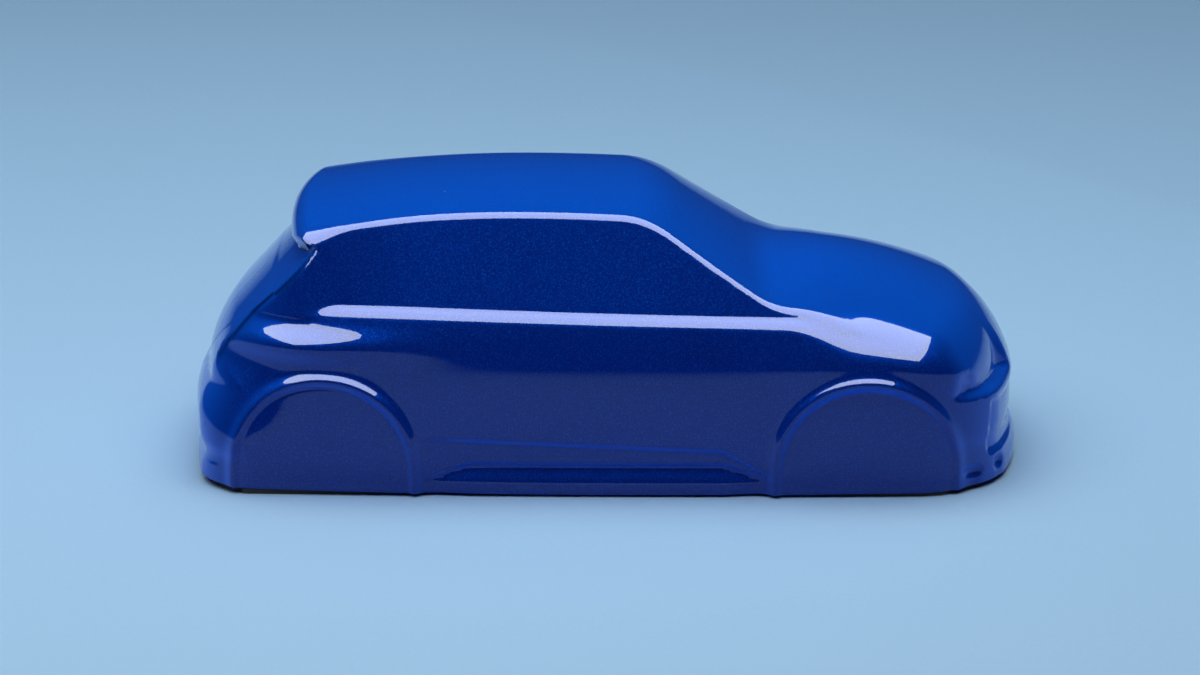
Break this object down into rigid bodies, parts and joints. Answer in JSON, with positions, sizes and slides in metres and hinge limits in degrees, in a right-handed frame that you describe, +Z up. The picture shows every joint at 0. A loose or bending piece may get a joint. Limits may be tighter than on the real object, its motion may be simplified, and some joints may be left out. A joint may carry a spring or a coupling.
{
  "type": "painted hatchback display model",
  "caption": "Glossy metallic blue display form of a small hatchback: a thin moulded shell with flat wheel discs in raised arches, on a black screwed-in base plate.",
  "frame": {"origin": "on the table under the middle of the model", "axes": "+X forward to the nose, +Y to the car's left, +Z up"},
  "size_m": [0.2179, 0.0994, 0.0747],
  "materials": {
    "shell_paint": "metallic blue paint under gloss clear coat",
    "base_black": "matt black",
    "block_grey": "matt grey",
    "screw_steel": "zinc-plated"
  },
  "bodies": {
    "root": {"shell": "shell_paint", "base_plate": "base_black", "block_1": "block_grey", "block_2": "block_grey", "block_3": "block_grey", "block_4": "block_grey", "screw_1": "screw_steel", "screw_2": "screw_steel", "screw_3": "screw_steel", "screw_4": "screw_steel"}
  },
  "joints": []
}
